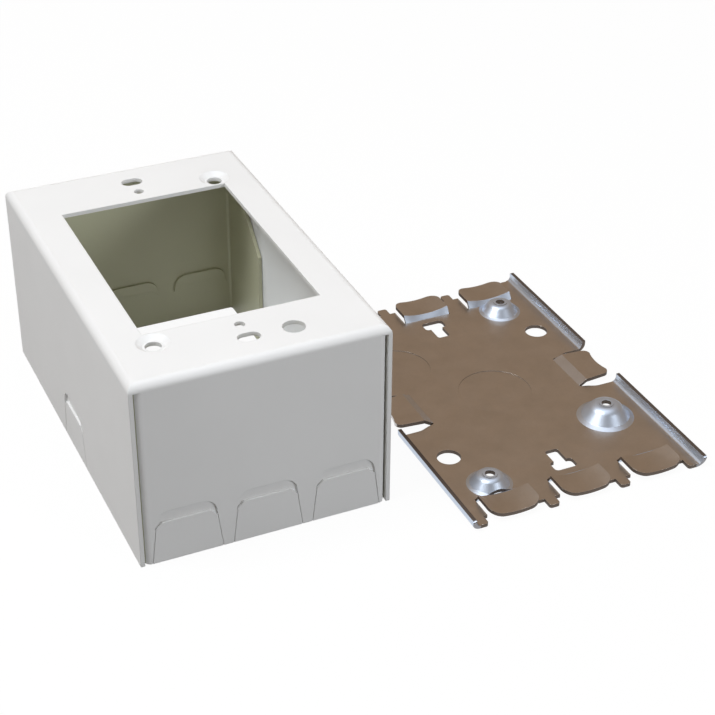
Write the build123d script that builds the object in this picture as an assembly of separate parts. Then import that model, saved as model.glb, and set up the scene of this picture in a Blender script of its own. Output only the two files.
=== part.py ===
from build123d import *
from math import cos, radians, sin, tan
import os

os.makedirs("parts", exist_ok=True)

# Driving dimensions in millimetres: the cover is a deep folded box with an
# open back, and the base plate is stamped to carry it.
COVER_WIDTH = 73.0
COVER_LENGTH = 117.5
COVER_DEPTH = 57.15
COVER_SHEET = 1.2
COVER_BEND = 1.2
PLATE_SHEET = 1.1
FIT_CLEARANCE = 0.2
SIDE_LAND = 11.2
END_LAND = 22.4
# How the two pieces lie side by side: the free floor between them, and how
# far the plate lies nearer than the cover.
FLOOR_GAP = 14.6
PLATE_SLIDE = 23.2

# Cover: outline and window.
COVER_OUTER_BEND = COVER_BEND + COVER_SHEET
WALL_HEIGHT = COVER_DEPTH - COVER_OUTER_BEND
WINDOW_WIDTH = COVER_WIDTH - 2 * SIDE_LAND
WINDOW_LENGTH = COVER_LENGTH - 2 * END_LAND
HALF_WIDTH = COVER_WIDTH / 2
HALF_LENGTH = COVER_LENGTH / 2

# Cover: holes in the two end lands of the top face.
DEVICE_HOLE_RADIUS = 1.45
DEVICE_HOLE_INSET = 5.32
DEVICE_HOLE_Y = WINDOW_LENGTH / 2 + DEVICE_HOLE_INSET
SLOT_FROM_HOLE = 6.75
SLOT_Y = DEVICE_HOLE_Y + SLOT_FROM_HOLE
SLOT_LENGTH = 6.4
SLOT_WIDTH = 4.2
SCREW_INSET = 1.5
SCREW_OUTSET = 4.85
SCREW_X = WINDOW_WIDTH / 2 - SCREW_INSET
SCREW_Y = WINDOW_LENGTH / 2 + SCREW_OUTSET
SCREW_HOLE_RADIUS = 2.25
DIMPLE_RADIUS = 4.6
DIMPLE_FLOOR_RADIUS = 2.9
DIMPLE_DEPTH = 1.1
SPARE_HOLE_X = WINDOW_WIDTH / 4
SPARE_HOLE_RADIUS = 3.15

# Cover: corner tabs folded in from the end walls behind the side walls.
SEAM = 0.2
TAB_OUTER_BEND = 2.1
TAB_REACH = 26.5
TAB_EDGE_HEIGHT = 0.55 * COVER_DEPTH
TAB_TOP_REACH = 2.6

# Cover: pry-out pieces pressed into the walls along the open rim.
PRYOUT_MARGIN = 1.85
PRYOUT_PITCH = (COVER_WIDTH - 2 * PRYOUT_MARGIN) / 3
PRYOUT_FOOT = 10.2
PRYOUT_SHOULDER = 8.2
PRYOUT_TOP = 16.2
PRYOUT_STEP = 12.8
PRYOUT_SCORE = 0.3
PRYOUT_SCORE_DEPTH = 0.2
PRYOUT_RECESS = 0.7
PRYOUT_PAD_DROP = 2.0
PRYOUT_ARCH_RADIUS = 4.0
PRYOUT_STEP_CORNER = 1.8

# Base plate: outline and upright side lips.
PLATE_WIDTH = COVER_WIDTH + 2 * (FIT_CLEARANCE + PLATE_SHEET)
PLATE_LENGTH = COVER_LENGTH - 2 * (COVER_SHEET + FIT_CLEARANCE)
LIP_HEIGHT = 3.7
LIP_INNER_BEND = 1.6
LIP_CORNER = 0.6
LIP_OVERRUN = 0.9
LIP_END = PLATE_LENGTH / 2 + LIP_OVERRUN

# Base plate: raised tongues along each end, one for each pry-out piece.
TONGUE_PITCH = PRYOUT_PITCH
TONGUE_WIDTH = 15.7
TONGUE_REACH = 11.05
TONGUE_SHORTFALL = 0.4
TONGUE_ROOT = PLATE_LENGTH / 2 - TONGUE_REACH
TONGUE_END = PLATE_LENGTH / 2 - TONGUE_SHORTFALL
TONGUE_RISER = 1.6
TONGUE_MIDDLE_RISE = 1.1
TONGUE_SIDE_RISE = 2.2
TONGUE_CORNER = 3.6
SLIT = 0.3
FINGER_TIP_LENGTH = 3.35
FINGER_STEP = PLATE_LENGTH / 2 - FINGER_TIP_LENGTH
FINGER_TIP_WIDTH = 3.2
FINGER_NOTCH = 1.55
FINGER_CORNER = 0.8
CORNER_FINGER_EDGE = TONGUE_PITCH + TONGUE_WIDTH / 2 + FINGER_NOTCH

# Base plate: one raised tongue in the middle of each side.
SIDE_TONGUE_HALF = 8.0
SIDE_TONGUE_TIP_HALF = 6.9
SIDE_TONGUE_REACH = 12.8
SIDE_TONGUE_SHORTFALL = 1.5
SIDE_TONGUE_ROOT = PLATE_WIDTH / 2 - SIDE_TONGUE_REACH
SIDE_TONGUE_END = PLATE_WIDTH / 2 - SIDE_TONGUE_SHORTFALL
SIDE_TONGUE_RISER = 2.8
SIDE_TONGUE_RISE = 1.5
SIDE_TONGUE_CORNER = 2.0
SIDE_TONGUE_HOLLOW = 0.8
RELIEF_HALF = 10.2
RELIEF_WAIST = 8.8
RELIEF_WAIST_RUN = 1.5
RELIEF_RUN = 6.0
RELIEF_START_WAY = (0.3, 1)

# Slope of a dome's side, in degrees.
PRESS_SLOPE = 50
# Share of a dome's run that its gentler foot flare takes.
FLARE_SHARE = 0.22

# Base plate: pressed domes with tapped holes, and the punched openings.
TAPPED_HOLE_RADIUS = 1.45
RIM_RADIUS = 2.2
RIM_RISE = 0.15
SCREW_DOME_RADIUS = 6.7
SCREW_DOME_RISE = 3.3
EARTH_DOME_RADIUS = 8.6
EARTH_DOME_RISE = 4.5
DOME_FLAT_RADIUS = 2.5
EARTH_DOME_Y = -25.4
FIXING_HOLE_X = 28.65
FIXING_HOLE_Y = 25.35
FIXING_HOLE_RADIUS = 3.55
KEYHOLE_INSET = 13.45
KEYHOLE_OUTER = PLATE_LENGTH / 2 - KEYHOLE_INSET
KEYHOLE_BAR_WIDTH = 7.2
KEYHOLE_BAR = 4.2
KEYHOLE_STEM_WIDTH = 4.1
KEYHOLE_STEM = 5.5
KEYHOLE_CORNER = 1.2
KEYHOLE_STEM_CORNER = 0.8
KNOCKOUT_RADIUS = 11.2
KNOCKOUT_STEP = 0.12
SIDE_KNOCKOUT = 23.0

# How far a cutting shape runs past the edge that it cuts, and how tall one is
# that passes through everything on the plate.
BEYOND = 1.0
CUT_HEIGHT = 4 * LIP_HEIGHT

# From the middle of the cover to the middle of the plate beside it.
PLATE_DX = HALF_WIDTH + FLOOR_GAP + PLATE_WIDTH / 2

UP = (Align.CENTER, Align.CENTER, Align.MIN)


def block(x, y, z):
    """A block given by its two limits along each axis."""
    size = (x[1] - x[0], y[1] - y[0], z[1] - z[0])
    corner = (Align.MIN, Align.MIN, Align.MIN)
    return Pos(x[0], y[0], z[0]) * Box(*size, align=corner)


def lines_face(points):
    """A flat face inside straight lines."""
    return make_face(Polyline(*points, close=True))


def outline_face(points, corners):
    """A flat face inside straight lines, with each corner rounded as given."""
    face = lines_face(points)
    for point, radius in corners:
        vertex = face.vertices().sort_by_distance((point[0], point[1], 0))[0]
        face = fillet(vertex, radius)
    return face


def pressed_form(foot_radius, flat_radius, rise, sheet):
    """A dome pressed up out of a sheet: a flare at its foot, a slope and a rounded shoulder."""
    slope = radians(PRESS_SLOPE)
    run = foot_radius - flat_radius
    flare_run = FLARE_SHARE * run
    flare_rise = flare_run * tan(slope / 2)
    shoulder = ((run - flare_run) * tan(slope) - rise + flare_rise) / (1 / cos(slope) - 1)
    top = rise + sheet
    flare_end = (foot_radius - flare_run, sheet + flare_rise)
    shoulder_end = (
        flat_radius + shoulder * sin(slope),
        top - shoulder * (1 - cos(slope)),
    )
    edges = [
        Line((foot_radius, 0), (flat_radius, rise)),
        Line((flat_radius, rise), (0, rise)),
        Line((0, rise), (0, top)),
        Line((0, top), (flat_radius, top)),
        TangentArc((flat_radius, top), shoulder_end, tangent=(1, 0)),
        Line(shoulder_end, flare_end),
        Line(flare_end, (foot_radius, sheet)),
        Line((foot_radius, sheet), (foot_radius, 0)),
    ]
    return revolve(Plane.XZ * make_face(edges), Axis.Z)


def dimple_form():
    """A screw head's round seat, pressed down out of the cover's top face."""
    points = [
        (DIMPLE_RADIUS, 0),
        (DIMPLE_FLOOR_RADIUS, -DIMPLE_DEPTH),
        (0, -DIMPLE_DEPTH),
        (0, COVER_SHEET - DIMPLE_DEPTH),
        (DIMPLE_FLOOR_RADIUS, COVER_SHEET - DIMPLE_DEPTH),
        (DIMPLE_RADIUS, COVER_SHEET),
    ]
    return revolve(Plane.XZ * lines_face(points), Axis.Z)


def put_in_sheet(sheet_solid, at, radius, sheet, form):
    """Replace a disc of a flat sheet with a pressed form; at is on the sheet's underside."""
    disc = Cylinder(radius, sheet, align=UP)
    return sheet_solid - Pos(*at) * disc + Pos(*at) * form


def folded_top():
    """The top face with the bends along its four edges."""
    outer = Box(COVER_WIDTH, COVER_LENGTH, COVER_DEPTH, align=UP)
    outer = fillet(outer.faces().sort_by(Axis.Z)[-1].edges(), COVER_OUTER_BEND)
    inner = Box(
        COVER_WIDTH - 2 * COVER_SHEET,
        COVER_LENGTH - 2 * COVER_SHEET,
        COVER_DEPTH - COVER_SHEET,
        align=UP,
    )
    inner = fillet(inner.faces().sort_by(Axis.Z)[-1].edges(), COVER_BEND)
    keep = block(
        (-COVER_WIDTH, COVER_WIDTH),
        (-COVER_LENGTH, COVER_LENGTH),
        (WALL_HEIGHT, COVER_DEPTH + BEYOND),
    )
    return (outer - inner) & keep


def end_wall():
    """One end wall with its two corner tabs, at the +Y end."""
    half = HALF_WIDTH - COVER_SHEET - SEAM
    inside = half - COVER_SHEET
    wall_y = HALF_LENGTH - COVER_SHEET
    tab_y = HALF_LENGTH - TAB_REACH
    plan = outline_face(
        [
            (-half, tab_y),
            (-half, HALF_LENGTH),
            (half, HALF_LENGTH),
            (half, tab_y),
            (inside, tab_y),
            (inside, wall_y),
            (-inside, wall_y),
            (-inside, tab_y),
        ],
        [
            ((-half, HALF_LENGTH), TAB_OUTER_BEND),
            ((half, HALF_LENGTH), TAB_OUTER_BEND),
            ((inside, wall_y), TAB_OUTER_BEND - COVER_SHEET),
            ((-inside, wall_y), TAB_OUTER_BEND - COVER_SHEET),
        ],
    )
    wall = extrude(plan, WALL_HEIGHT)
    slope_y = HALF_LENGTH - TAB_TOP_REACH
    slope = Plane.YZ * lines_face(
        [
            (tab_y - BEYOND, TAB_EDGE_HEIGHT - BEYOND),
            (slope_y, TAB_EDGE_HEIGHT + slope_y - tab_y),
            (slope_y, COVER_DEPTH + BEYOND),
            (tab_y - BEYOND, COVER_DEPTH + BEYOND),
        ]
    )
    return wall - extrude(slope, COVER_WIDTH, both=True)


def pryout_band():
    """The pressed-in line of one pry-out piece, with its foot on the rim."""
    shoulder = (PRYOUT_SHOULDER, PRYOUT_TOP)
    outer = outline_face(
        [(-PRYOUT_FOOT, 0), (-shoulder[0], shoulder[1]), shoulder, (PRYOUT_FOOT, 0)],
        [((-shoulder[0], shoulder[1]), PRYOUT_ARCH_RADIUS), (shoulder, PRYOUT_ARCH_RADIUS)],
    )
    foot = PRYOUT_FOOT - PRYOUT_SCORE
    lean = (PRYOUT_FOOT - PRYOUT_SHOULDER) / PRYOUT_TOP
    turn_z = PRYOUT_STEP - PRYOUT_STEP_CORNER
    turn_x = foot - lean * turn_z
    step_x = turn_x - PRYOUT_STEP_CORNER
    inner = lines_face(
        [
            (-foot, 0),
            (-turn_x, turn_z),
            (-step_x, PRYOUT_STEP),
            (step_x, PRYOUT_STEP),
            (turn_x, turn_z),
            (foot, 0),
        ]
    )
    return outer - inner


def wall_planes():
    """A plane on the outer face of each wall where a pry-out piece belongs."""
    planes = []
    for shift in (-PRYOUT_PITCH, 0, PRYOUT_PITCH):
        planes.append(Plane((shift, -HALF_LENGTH, 0), (1, 0, 0), (0, -1, 0)))
        planes.append(Plane((shift, HALF_LENGTH, 0), (-1, 0, 0), (0, 1, 0)))
    planes.append(Plane((HALF_WIDTH, 0, 0), (0, 1, 0), (1, 0, 0)))
    planes.append(Plane((-HALF_WIDTH, 0, 0), (0, -1, 0), (-1, 0, 0)))
    return planes


def top_hole(x, y, outline):
    """A punch through the cover's top face, dimples included."""
    bottom = COVER_DEPTH - 2 * COVER_SHEET - DIMPLE_DEPTH
    return Pos(x, y, bottom) * extrude(outline, COVER_DEPTH)


def box_cover():
    """The cover, standing on the rim of its open back."""
    cover = folded_top()
    side = block(
        (HALF_WIDTH - COVER_SHEET, HALF_WIDTH),
        (-HALF_LENGTH, HALF_LENGTH),
        (0, WALL_HEIGHT),
    )
    end = end_wall()
    cover = cover + side + mirror(side, about=Plane.YZ)
    cover = cover + end + mirror(end, about=Plane.XZ)

    cover -= Pos(0, 0, COVER_DEPTH) * Box(WINDOW_WIDTH, WINDOW_LENGTH, COVER_DEPTH / 2)
    under = COVER_DEPTH - COVER_SHEET
    for x, y in ((SCREW_X, SCREW_Y), (-SCREW_X, -SCREW_Y)):
        cover = put_in_sheet(cover, (x, y, under), DIMPLE_RADIUS, COVER_SHEET, dimple_form())
        cover -= top_hole(x, y, Circle(SCREW_HOLE_RADIUS))
    for side_of_middle in (1, -1):
        cover -= top_hole(0, side_of_middle * DEVICE_HOLE_Y, Circle(DEVICE_HOLE_RADIUS))
        cover -= top_hole(0, side_of_middle * SLOT_Y, SlotOverall(SLOT_LENGTH, SLOT_WIDTH))
    cover -= top_hole(SPARE_HOLE_X, -SLOT_Y, Circle(SPARE_HOLE_RADIUS))

    band = pryout_band()
    crest_height = PRYOUT_TOP - PRYOUT_STEP + PRYOUT_PAD_DROP
    crest = band & Pos(0, PRYOUT_TOP) * Rectangle(2 * PRYOUT_FOOT, 2 * crest_height)
    for plane in wall_planes():
        cover += plane * extrude(Pos(0, 0, -COVER_SHEET) * crest, -PRYOUT_RECESS)
        cover -= plane * extrude(crest, -PRYOUT_RECESS)
        cover -= plane * extrude(band, -PRYOUT_SCORE_DEPTH)
    return cover


def plate_section():
    """The plate's sheet with a lip bent up at each side, for its whole length."""
    edge = PLATE_WIDTH / 2
    inside = edge - PLATE_SHEET
    half = outline_face(
        [
            (0, 0),
            (edge, 0),
            (edge, LIP_HEIGHT),
            (inside, LIP_HEIGHT),
            (inside, PLATE_SHEET),
            (0, PLATE_SHEET),
        ],
        [
            ((edge, 0), LIP_INNER_BEND + PLATE_SHEET),
            ((inside, PLATE_SHEET), LIP_INNER_BEND),
        ],
    )
    right = extrude(Plane.XZ * half, LIP_END, both=True)
    slant = Plane.YZ * lines_face(
        [
            (PLATE_LENGTH / 2, 0),
            (LIP_END, LIP_HEIGHT),
            (LIP_END + BEYOND, LIP_HEIGHT),
            (LIP_END + BEYOND, 0),
        ]
    )
    trim = extrude(slant, PLATE_WIDTH)
    right -= trim + mirror(trim, about=Plane.XZ)
    lip_ends = right.faces().sort_by(Axis.Z)[-1].edges().filter_by(Axis.X)
    right = fillet(lip_ends, LIP_CORNER)
    return right + mirror(right, about=Plane.YZ)


def channel_section(y, middle, side):
    """The sheet's section across an end tongue, hollowed between its raised sides."""
    half = TONGUE_WIDTH / 2
    if middle == side:
        face = Pos(0, middle) * Rectangle(TONGUE_WIDTH, PLATE_SHEET, align=(Align.CENTER, Align.MIN))
    else:
        top = middle + PLATE_SHEET
        edge_top = side + PLATE_SHEET
        face = make_face(
            [
                ThreePointArc((-half, side), (0, middle), (half, side)),
                Line((half, side), (half, edge_top)),
                ThreePointArc((-half, edge_top), (0, top), (half, edge_top)),
                Line((-half, edge_top), (-half, side)),
            ]
        )
    return Plane((0, y, 0), (1, 0, 0), (0, -1, 0)) * face


def end_tongue():
    """One raised tongue at the +Y end: a short riser, then a shallow channel."""
    half = TONGUE_WIDTH / 2
    top_y = TONGUE_ROOT + TONGUE_RISER
    root = channel_section(TONGUE_ROOT, 0, 0)
    crest = channel_section(top_y, TONGUE_MIDDLE_RISE, TONGUE_SIDE_RISE)
    riser = loft([root, crest], ruled=True)
    channel = extrude(crest, TONGUE_END - top_y, dir=(0, 1, 0))
    plan = outline_face(
        [(-half, 0), (-half, TONGUE_END), (half, TONGUE_END), (half, 0)],
        [((-half, TONGUE_END), TONGUE_CORNER), ((half, TONGUE_END), TONGUE_CORNER)],
    )
    return riser + (channel & extrude(plan, CUT_HEIGHT))


def side_tongue():
    """The raised tongue in the middle of the +X side."""
    top_x = SIDE_TONGUE_ROOT + SIDE_TONGUE_RISER
    profile = Plane.XZ * lines_face(
        [
            (SIDE_TONGUE_ROOT, 0),
            (top_x, SIDE_TONGUE_RISE),
            (SIDE_TONGUE_END, SIDE_TONGUE_RISE),
            (SIDE_TONGUE_END, SIDE_TONGUE_RISE + PLATE_SHEET),
            (top_x, SIDE_TONGUE_RISE + PLATE_SHEET),
            (SIDE_TONGUE_ROOT, PLATE_SHEET),
        ]
    )
    strip = extrude(profile, SIDE_TONGUE_HALF, both=True)
    corner_far = (SIDE_TONGUE_END, SIDE_TONGUE_TIP_HALF)
    corner_near = (SIDE_TONGUE_END, -SIDE_TONGUE_TIP_HALF)
    plan = outline_face(
        [
            (SIDE_TONGUE_ROOT, SIDE_TONGUE_HALF),
            corner_far,
            corner_near,
            (SIDE_TONGUE_ROOT, -SIDE_TONGUE_HALF),
        ],
        [(corner_far, SIDE_TONGUE_CORNER), (corner_near, SIDE_TONGUE_CORNER)],
    )
    reach = SIDE_TONGUE_TIP_HALF - SIDE_TONGUE_CORNER
    hollow = make_face(
        [
            ThreePointArc(
                (SIDE_TONGUE_END, -reach),
                (SIDE_TONGUE_END - SIDE_TONGUE_HOLLOW, 0),
                (SIDE_TONGUE_END, reach),
            ),
            Line((SIDE_TONGUE_END, reach), (SIDE_TONGUE_END, -reach)),
        ]
    )
    return (strip & extrude(plan, CUT_HEIGHT)) - extrude(hollow, CUT_HEIGHT)


def side_relief():
    """The gap punched round the +X side tongue."""
    edge = PLATE_WIDTH / 2 + BEYOND
    waist_x = SIDE_TONGUE_ROOT + RELIEF_WAIST_RUN
    open_x = SIDE_TONGUE_ROOT + RELIEF_RUN
    flank = Spline(
        (SIDE_TONGUE_ROOT, SIDE_TONGUE_HALF),
        (waist_x, RELIEF_WAIST),
        (open_x, RELIEF_HALF),
        tangents=(RELIEF_START_WAY, (1, 0)),
    )
    half = make_face(
        [
            flank,
            Line((open_x, RELIEF_HALF), (edge, RELIEF_HALF)),
            Line((edge, RELIEF_HALF), (edge, 0)),
            Line((edge, 0), (SIDE_TONGUE_ROOT, 0)),
            Line((SIDE_TONGUE_ROOT, 0), (SIDE_TONGUE_ROOT, SIDE_TONGUE_HALF)),
        ]
    )
    cut = extrude(half, CUT_HEIGHT)
    return cut + mirror(cut, about=Plane.XZ)


def end_cut():
    """What is punched away round the tongues at the +Y end."""
    beyond = LIP_END + BEYOND
    flat_half = PLATE_WIDTH / 2 - PLATE_SHEET - LIP_INNER_BEND
    height = (0, CUT_HEIGHT)
    slot_half = TONGUE_WIDTH / 2 + SLIT
    tip_x = TONGUE_PITCH / 2
    tip_half = FINGER_TIP_WIDTH / 2
    cut = block((-flat_half, flat_half), (PLATE_LENGTH / 2, beyond), height)
    for shift in (-TONGUE_PITCH, 0, TONGUE_PITCH):
        cut += block((shift - slot_half, shift + slot_half), (TONGUE_ROOT, beyond), height)
    cut += block((-tip_x + tip_half, tip_x - tip_half), (FINGER_STEP, beyond), height)
    outer = block((tip_x + tip_half, CORNER_FINGER_EDGE), (FINGER_STEP, beyond), height)
    return cut + outer + mirror(outer, about=Plane.YZ)


def keyhole():
    """The T-shaped hanging hole at the +Y end."""
    bar_y = KEYHOLE_OUTER - KEYHOLE_BAR
    stem_y = bar_y - KEYHOLE_STEM
    bar = KEYHOLE_BAR_WIDTH / 2
    stem = KEYHOLE_STEM_WIDTH / 2
    points = [
        (-stem, stem_y),
        (-stem, bar_y),
        (-bar, bar_y),
        (-bar, KEYHOLE_OUTER),
        (bar, KEYHOLE_OUTER),
        (bar, bar_y),
        (stem, bar_y),
        (stem, stem_y),
    ]
    corners = [(point, KEYHOLE_CORNER) for point in points[2:6]]
    corners += [(point, KEYHOLE_STEM_CORNER) for point in (points[0], points[-1])]
    shape = outline_face(points, corners)
    return extrude(shape, CUT_HEIGHT)


def finger_corners(plate):
    """The upright edges at the fingers' tips, between the lips."""
    upright = plate.edges().filter_by(Axis.Z)
    tips = []
    for edge in upright:
        place = edge.center()
        at_end = abs(abs(place.Y) - PLATE_LENGTH / 2) < SLIT
        if at_end and abs(place.X) < CORNER_FINGER_EDGE + SLIT:
            tips.append(edge)
    return tips


def base_plate():
    """The base plate, lying flat with its lips and domes upward."""
    plate = plate_section()
    domes = (
        (SCREW_X, SCREW_Y, SCREW_DOME_RADIUS, SCREW_DOME_RISE),
        (-SCREW_X, -SCREW_Y, SCREW_DOME_RADIUS, SCREW_DOME_RISE),
        (SCREW_X, EARTH_DOME_Y, EARTH_DOME_RADIUS, EARTH_DOME_RISE),
    )
    for x, y, radius, rise in domes:
        dome = pressed_form(radius, DOME_FLAT_RADIUS, rise, PLATE_SHEET)
        plate = put_in_sheet(plate, (x, y, 0), radius, PLATE_SHEET, dome)
        plate += Pos(x, y, rise) * Cylinder(RIM_RADIUS, PLATE_SHEET + RIM_RISE, align=UP)
        plate -= Pos(x, y, 0) * Cylinder(TAPPED_HOLE_RADIUS, CUT_HEIGHT)

    tongues = end_tongue()
    for turn in (0, 180):
        spin = Rot(0, 0, turn)
        plate -= spin * end_cut()
        plate -= spin * side_relief()
        plate -= spin * keyhole()
        fixing_hole = Cylinder(FIXING_HOLE_RADIUS, CUT_HEIGHT)
        plate -= spin * Pos(FIXING_HOLE_X, FIXING_HOLE_Y, 0) * fixing_hole
        plate += spin * side_tongue()
        for shift in (-TONGUE_PITCH, 0, TONGUE_PITCH):
            plate += spin * Pos(shift, 0, 0) * tongues
    plate = fillet(finger_corners(plate), FINGER_CORNER)

    for x, y in ((0, 0), (-SIDE_KNOCKOUT, SIDE_KNOCKOUT)):
        plate -= Pos(x, y, PLATE_SHEET) * extrude(Circle(KNOCKOUT_RADIUS), -KNOCKOUT_STEP)
    return plate


def as_one_solid(shape):
    """The single solid that a piece is made of."""
    solids = shape.solids()
    assert len(solids) == 1, len(solids)
    return solids[0]


cover = as_one_solid(box_cover())
plate = as_one_solid(Pos(PLATE_DX, -PLATE_SLIDE, 0) * base_plate())
# Both pieces move together, so that the middle of their footprint is the origin.
far_left = cover.bounding_box()
near_right = plate.bounding_box()
middle_x = (far_left.min.X + near_right.max.X) / 2
middle_y = (far_left.max.Y + near_right.min.Y) / 2
export_step(Pos(-middle_x, -middle_y, 0) * cover, "parts/box_cover.step")
export_step(Pos(-middle_x, -middle_y, 0) * plate, "parts/base_plate.step")
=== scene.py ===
import math

import bpy
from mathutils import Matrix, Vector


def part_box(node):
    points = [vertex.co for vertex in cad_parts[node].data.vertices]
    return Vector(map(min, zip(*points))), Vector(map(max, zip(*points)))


# The camera stands to the left and in front of the pair, looking down at about 32 degrees.
CAMERA_PLACE = (-0.18125, -0.40193, 0.2984)
CAMERA_TILT = (57.4933, -0.3436, -24.4046)
CAMERA_FOCAL_PIXELS = 1758.4
PHOTO_PIXELS = 715
SENSOR_MM = 36.0

# Half the floor's side and how far it lies under the pair, in metres.
FLOOR_HALF = 3.0
FLOOR_DROP = 0.0002
# The floor's greys: for light that bounces off it around the pair and under the cover, and
# as the camera and shiny surfaces see it, where most of it is a plain white glow.
FLOOR_BOUNCE = (0.16, 0.16, 0.16, 1.0)
FLOOR_UNDER_COVER = (0.75, 0.75, 0.75, 1.0)
FLOOR_PALE = (0.95, 0.95, 0.95, 1.0)
FLOOR_WHITE_SHARE = 0.95
FLOOR_ROUGHNESS = 0.9
WHITE = (1.0, 1.0, 1.0, 1.0)

# Sheet thicknesses, heights on the plate and the softness of a mask's border, in metres.
COVER_SHEET = 0.0012
PLATE_SHEET = 0.0011
LIP_HEIGHT = 0.0037
LIP_BEND = 0.0016
DOME_CROWN = 0.0040
HAIR = 0.00008
# How far down the cover the dimples reach, in metres.
DIMPLE_REACH = 0.0026
# Half the width of the gap round a side tongue, in metres.
SIDE_TONGUE_GAP = 0.009

# The painted shade inside starts this many sheets in from the cover's sides and from its
# ends. It darkens the end walls' inner faces, where shade falls in the box, and leaves those
# of the side walls as they are outside.
SHADE_SHEETS_FROM_SIDE = 1.2
SHADE_SHEETS_FROM_END = 0.8

PAINT_DARK = (0.84, 0.85, 0.85)
PAINT_LIGHT = (0.865, 0.875, 0.875)
# Painted shade: the dark olive of the end walls' inner faces in the box's shade.
SHADE_INSIDE_COLOUR = (0.53, 0.53, 0.375)
PAINT_ROUGHNESS = (0.44, 0.56)
PAINT_EDGE_RADIUS = 0.00025
PAINT_PEEL = {"Strength": 0.05, "Distance": 0.0004}

ZINC_DARK = (0.50, 0.445, 0.39)
ZINC_LIGHT = (0.58, 0.515, 0.455)
# Painted reflection: the cool overhead as the slopes and dome crowns reflect it.
ZINC_PAINTED_SHEEN = (0.60, 0.67, 0.78)
# Cut edges: duller bare steel, darkened further by painted shade in the holes, slits and
# gaps.
ZINC_CUT_AND_SHADE = (0.16, 0.13, 0.11)
ZINC_ROUGHNESS = (0.26, 0.36)
# The least roughness of the bent and pressed parts and of the cut edges.
PRESSED_ROUGHNESS = 0.44
CUT_ROUGHNESS = 0.7
ZINC_EDGE_RADIUS = 0.00012
ZINC_GRAIN = {"Strength": 0.035, "Distance": 0.0003}
# How much of the painted sheen the slopes of the side tongues take.
SIDE_TONGUE_SHARE = 0.3

# How far a surface faces along an axis, from 0 to 1: the least along X for a lip's face, the
# most along Z for a cut edge and for a slope, and the softness of those borders.
LIP_FACE_WAY = 0.9
CUT_EDGE_WAY = 0.25
SLOPE_WAY = 0.93
WAY_SOFT = 0.05

# Noises by features per metre, detail and, where it isn't 0.5, roughness.
PAINT_TONE_NOISE = (35.0, 4.0)
PAINT_GLOSS_NOISE = (160.0, 3.0)
PAINT_PEEL_NOISE = (900.0, 2.0)
ZINC_PATCH_NOISE = (120.0, 8.0, 0.75)
ZINC_GLOSS_NOISE = (260.0, 4.0)
ZINC_GRAIN_NOISE = (1500.0, 3.0)
# The span of a noise in which one tone turns into the other.
TONE_SPAN = (0.3, 0.7)
BEVEL_SAMPLES = 6

# The sky's colours by height on a unit sphere, from the horizon at 0 to straight up at 1.
SKY_STOPS = [
    (0.0, (0.42, 0.32, 0.235)),
    (0.80, (0.42, 0.32, 0.235)),
    (0.93, (1.10, 1.18, 1.30)),
    (1.0, (1.15, 1.23, 1.35)),
]
SKY_STRENGTH = 0.88
# The surround is dimmer on the camera's side: the way away from the camera, the share of
# the strength that is left on its side, and half the width of the change.
SKY_FAR_WAY = (0.41, 0.91, 0.0)
SKY_DIM = 0.4
SKY_SOFT = 0.5

# Square lamps, with places and sides in metres and power in watts.
LAMPS = [
    {
        "name": "top_lamp",
        "place": (0.0, 0.0, 1.2),
        "target": (0.0, 0.0, 0.0),
        "side": 1.0,
        "power": 1.8,
        "colour": (1.0, 1.0, 1.0),
    },
    {
        "name": "left_lamp",
        "place": (-0.64, 0.0, 1.02),
        "target": (0.0, 0.0, 0.03),
        "side": 0.5,
        "power": 9.2,
        "colour": (0.94, 0.97, 1.0),
    },
    {
        "name": "right_lamp",
        "place": (0.48, -1.03, 0.37),
        "target": (0.0, 0.0, 0.03),
        "side": 0.3,
        "power": 4.6,
        "colour": (0.90, 0.95, 1.0),
    },
]


def new_material(name):
    """A node material with its node tree and its shader."""
    material = bpy.data.materials.new(name)
    material.use_nodes = True
    tree = material.node_tree
    shader = tree.nodes["Principled BSDF"]
    return material, tree, shader


def fill(tree, socket, value):
    """Link a socket to another one, or give it a plain value."""
    if isinstance(value, bpy.types.NodeSocket):
        tree.links.new(value, socket)
    else:
        socket.default_value = value


def node(tree, kind, inputs=(), **settings):
    """A shader node with its settings, its values and its links."""
    made = tree.nodes.new(kind)
    for key, value in settings.items():
        setattr(made, key, value)
    for key, value in dict(inputs).items():
        fill(tree, made.inputs[key], value)
    return made


def object_place(tree):
    """The place on the object, in its own metres."""
    return node(tree, "ShaderNodeTexCoord").outputs["Object"]


def split(tree, vector):
    """The X, Y and Z outputs of a vector."""
    return node(tree, "ShaderNodeSeparateXYZ", {"Vector": vector}).outputs


def vector_node(tree, operation, *values, output="Vector"):
    """One arithmetic step on vectors."""
    made = node(tree, "ShaderNodeVectorMath", enumerate(values), operation=operation)
    return made.outputs[output]


def math_node(tree, operation, first, second):
    """One arithmetic step on values."""
    made = node(tree, "ShaderNodeMath", {0: first, 1: second}, operation=operation)
    return made.outputs[0]


def chain(tree, operation, values):
    """One arithmetic step along several values."""
    result = values[0]
    for value in values[1:]:
        result = math_node(tree, operation, result, value)
    return result


def times(tree, *values):
    """The product of several masks."""
    return chain(tree, "MULTIPLY", values)


def either(tree, *values):
    """The largest of several masks."""
    return chain(tree, "MAXIMUM", values)


def invert(tree, value):
    """One minus a value."""
    return math_node(tree, "SUBTRACT", 1.0, value)


def above(tree, value, edge, soft=HAIR):
    """Zero below an edge and one above it, with a short soft rise."""
    made = node(
        tree,
        "ShaderNodeMapRange",
        {"Value": value, "From Min": edge - soft, "From Max": edge + soft},
        interpolation_type="SMOOTHSTEP",
    )
    return made.outputs["Result"]


def below(tree, value, edge, soft=HAIR):
    """One below an edge and zero above it, with a short soft fall."""
    return invert(tree, above(tree, value, edge, soft))


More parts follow.
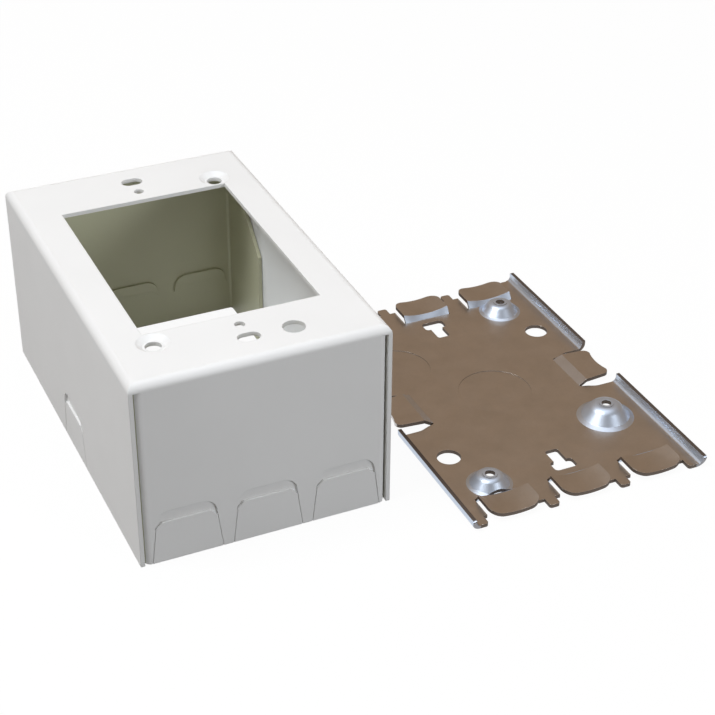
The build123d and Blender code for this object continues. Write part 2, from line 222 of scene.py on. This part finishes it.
def within(tree, value, low, high):
    """One between two edges and zero outside them."""
    return times(tree, above(tree, value, low), below(tree, value, high))


def remap(tree, factor, low, high):
    """A factor from 0 to 1 moved to the range from low to high."""
    made = node(
        tree, "ShaderNodeMapRange", {"Value": factor, "To Min": low, "To Max": high}
    )
    return made.outputs["Result"]


def noise(tree, scale, detail, roughness=0.5):
    """Noise over the object, with the given number of features per metre."""
    made = node(
        tree,
        "ShaderNodeTexNoise",
        {
            "Vector": object_place(tree),
            "Scale": scale,
            "Detail": detail,
            "Roughness": roughness,
        },
    )
    return made.outputs["Fac"]


def ramp(tree, factor, stops):
    """A colour ramp over a factor, from (place, colour) stops."""
    made = node(tree, "ShaderNodeValToRGB", {"Fac": factor})
    elements = made.color_ramp.elements
    while len(elements) < len(stops):
        elements.new(0.5)
    for element, (place, colour) in zip(elements, stops):
        element.position = place
        element.color = (*colour, 1.0)
    return made.outputs["Color"]


def two_tones(tree, factor, dark, light):
    """A soft change from a dark tone to a light one."""
    return ramp(tree, factor, list(zip(TONE_SPAN, (dark, light))))


def blend(tree, factor, first, second):
    """Two colours, with four values each, mixed by a factor."""
    made = node(
        tree,
        "ShaderNodeMix",
        {0: factor, 6: first, 7: second},
        data_type="RGBA",
        blend_type="MIX",
    )
    return made.outputs[2]


def middle_distances(tree, node_name):
    """Distances from a node's middle and up from its foot, with its half sides and height."""
    low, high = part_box(node_name)
    foot = ((low[0] + high[0]) / 2, (low[1] + high[1]) / 2, low[2])
    moved = vector_node(tree, "SUBTRACT", object_place(tree), foot)
    where = split(tree, vector_node(tree, "ABSOLUTE", moved))
    half = ((high[0] - low[0]) / 2, (high[1] - low[1]) / 2)
    return where, half, high[2] - low[2]


def surface_way(tree):
    """How far the surface faces along each axis, either way, from 0 to 1."""
    normal = node(tree, "ShaderNodeNewGeometry").outputs["True Normal"]
    return split(tree, vector_node(tree, "ABSOLUTE", normal))


def fine_surface(tree, shader, edge_radius, grain_noise, grain):
    """Edges rounded a little and a fine grain, both in the shading only."""
    soft_edge = node(
        tree, "ShaderNodeBevel", {"Radius": edge_radius}, samples=BEVEL_SAMPLES
    )
    height = noise(tree, *grain_noise)
    bump = node(
        tree,
        "ShaderNodeBump",
        {"Height": height, "Normal": soft_edge.outputs["Normal"], **grain},
    )
    tree.links.new(bump.outputs["Normal"], shader.inputs["Normal"])


def paint_material():
    """Off-white semi-gloss paint, with painted shade in dark olive on the end walls inside.
    """
    material, tree, shader = new_material("cover_paint_look")
    where, half, height = middle_distances(tree, "box_cover")
    tone = noise(tree, *PAINT_TONE_NOISE)
    colour = two_tones(tree, tone, PAINT_DARK, PAINT_LIGHT)
    # Painted shade: the end walls' inner faces turn dark olive.
    painted_shade_inside = times(
        tree,
        below(tree, where["X"], half[0] - SHADE_SHEETS_FROM_SIDE * COVER_SHEET),
        below(tree, where["Y"], half[1] - SHADE_SHEETS_FROM_END * COVER_SHEET),
        below(tree, where["Z"], height - DIMPLE_REACH),
    )
    colour = blend(tree, painted_shade_inside, colour, (*SHADE_INSIDE_COLOUR, 1.0))
    tree.links.new(colour, shader.inputs["Base Color"])
    gloss = remap(tree, noise(tree, *PAINT_GLOSS_NOISE), *PAINT_ROUGHNESS)
    tree.links.new(gloss, shader.inputs["Roughness"])
    fine_surface(tree, shader, PAINT_EDGE_RADIUS, PAINT_PEEL_NOISE, PAINT_PEEL)
    return material


def zinc_material():
    """Galvanised steel, with a painted reflection, cooler and paler, on its slopes and dome
    crowns, and dark and dull on its cut edges, partly from bare steel and partly as painted
    shade.
    """
    material, tree, shader = new_material("plate_zinc_look")
    where, half, _ = middle_distances(tree, "base_plate")
    way = surface_way(tree)
    lip_inside = half[0] - PLATE_SHEET
    lip_face = times(
        tree,
        above(tree, where["X"], lip_inside - LIP_BEND - HAIR),
        above(tree, way["X"], LIP_FACE_WAY, WAY_SOFT),
    )
    # Cut edges are dark partly as bare steel and partly as painted shade in the holes, slits
    # and gaps.
    edge = times(
        tree, below(tree, way["Z"], CUT_EDGE_WAY, WAY_SOFT), invert(tree, lip_face)
    )
    lip_top = times(
        tree,
        above(tree, where["X"], lip_inside - HAIR),
        above(tree, where["Z"], LIP_HEIGHT - HAIR),
    )
    cut_and_shade = either(tree, edge, lip_top)
    slope = below(tree, way["Z"], SLOPE_WAY, WAY_SOFT)
    off_side_tongues = above(tree, where["Y"], SIDE_TONGUE_GAP)
    # Painted reflection: the slopes and the dome crowns take a paler, cooler colour for the
    # sky they reflect.
    painted_sheen_area = either(
        tree,
        times(tree, slope, remap(tree, off_side_tongues, SIDE_TONGUE_SHARE, 1.0)),
        above(tree, where["Z"], DOME_CROWN),
    )
    patches = noise(tree, *ZINC_PATCH_NOISE)
    colour = two_tones(tree, patches, ZINC_DARK, ZINC_LIGHT)
    colour = blend(tree, painted_sheen_area, colour, (*ZINC_PAINTED_SHEEN, 1.0))
    colour = blend(tree, cut_and_shade, colour, (*ZINC_CUT_AND_SHADE, 1.0))
    tree.links.new(colour, shader.inputs["Base Color"])
    shader.inputs["Metallic"].default_value = 1.0
    gloss = either(
        tree,
        remap(tree, noise(tree, *ZINC_GLOSS_NOISE), *ZINC_ROUGHNESS),
        times(tree, painted_sheen_area, PRESSED_ROUGHNESS),
        times(tree, cut_and_shade, CUT_ROUGHNESS),
    )
    tree.links.new(gloss, shader.inputs["Roughness"])
    fine_surface(tree, shader, ZINC_EDGE_RADIUS, ZINC_GRAIN_NOISE, ZINC_GRAIN)
    return material


def add_floor():
    """A plain white floor that keeps a faint shadow and stays pale under the cover."""
    bpy.ops.mesh.primitive_plane_add(size=2 * FLOOR_HALF, location=(0, 0, -FLOOR_DROP))
    floor = bpy.context.object
    floor.name = "floor"
    material, tree, shader = new_material("floor_look")
    path = node(tree, "ShaderNodeLightPath").outputs
    seen = either(
        tree,
        path["Is Camera Ray"],
        path["Is Glossy Ray"],
        path["Is Transmission Ray"],
    )
    low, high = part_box("box_cover")
    where = split(tree, object_place(tree))
    under = times(
        tree,
        within(tree, where["X"], low[0], high[0]),
        within(tree, where["Y"], low[1], high[1]),
    )
    bounce = blend(tree, under, FLOOR_BOUNCE, FLOOR_UNDER_COVER)
    tree.links.new(blend(tree, seen, bounce, FLOOR_PALE), shader.inputs["Base Color"])
    shader.inputs["Roughness"].default_value = FLOOR_ROUGHNESS
    shader.inputs["Specular IOR Level"].default_value = 0.0
    glow = node(tree, "ShaderNodeEmission", {"Color": WHITE, "Strength": 1.0})
    mixed = node(
        tree,
        "ShaderNodeMixShader",
        {
            0: times(tree, seen, FLOOR_WHITE_SHARE),
            1: shader.outputs["BSDF"],
            2: glow.outputs["Emission"],
        },
    )
    tree.links.new(mixed.outputs[0], tree.nodes["Material Output"].inputs["Surface"])
    floor.data.materials.append(material)


def add_world():
    """A studio surround: cool and bright overhead, warm and dim towards the horizon."""
    world = bpy.data.worlds.new("studio")
    bpy.context.scene.world = world
    world.use_nodes = True
    tree = world.node_tree
    back = tree.nodes["Background"]
    way = node(tree, "ShaderNodeTexCoord").outputs["Generated"]
    sky = ramp(tree, split(tree, way)["Z"], SKY_STOPS)
    tree.links.new(sky, back.inputs["Color"])
    far = vector_node(tree, "DOT_PRODUCT", way, SKY_FAR_WAY, output="Value")
    share = above(tree, far, 0.0, SKY_SOFT)
    strength = remap(tree, share, SKY_DIM * SKY_STRENGTH, SKY_STRENGTH)
    tree.links.new(strength, back.inputs["Strength"])


def add_softbox(name, place, target, side, power, colour):
    """A square studio lamp aimed at a point."""
    data = bpy.data.lights.new(name, "AREA")
    data.shape = "RECTANGLE"
    data.size = data.size_y = side
    data.energy = power
    data.color = colour
    lamp = bpy.data.objects.new(name, data)
    bpy.context.scene.collection.objects.link(lamp)
    lamp.location = place
    aim = [b - a for a, b in zip(place, target)]
    lamp.rotation_euler = Vector(aim).to_track_quat("-Z", "Y").to_euler()


def add_camera():
    """The camera at the photograph's place and angle."""
    data = bpy.data.cameras.new("camera")
    data.sensor_width = SENSOR_MM
    data.lens = CAMERA_FOCAL_PIXELS / PHOTO_PIXELS * SENSOR_MM
    camera = bpy.data.objects.new("camera", data)
    bpy.context.scene.collection.objects.link(camera)
    camera.location = CAMERA_PLACE
    camera.rotation_euler = [math.radians(angle) for angle in CAMERA_TILT]
    bpy.context.scene.camera = camera


def dress(node_name, material):
    """Give a CAD node its material."""
    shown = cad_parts[node_name]
    shown.data.materials.clear()
    shown.data.materials.append(material)


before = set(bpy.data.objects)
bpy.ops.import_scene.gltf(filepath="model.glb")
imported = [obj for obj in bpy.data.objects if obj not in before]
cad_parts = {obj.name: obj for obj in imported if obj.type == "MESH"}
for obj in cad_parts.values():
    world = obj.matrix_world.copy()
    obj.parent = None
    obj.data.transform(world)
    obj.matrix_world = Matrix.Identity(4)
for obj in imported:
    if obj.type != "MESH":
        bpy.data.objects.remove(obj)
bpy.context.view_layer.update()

dress("box_cover", paint_material())
dress("base_plate", zinc_material())
add_floor()
add_world()
for lamp in LAMPS:
    add_softbox(**lamp)
add_camera()
bpy.context.scene.view_settings.view_transform = "Standard"
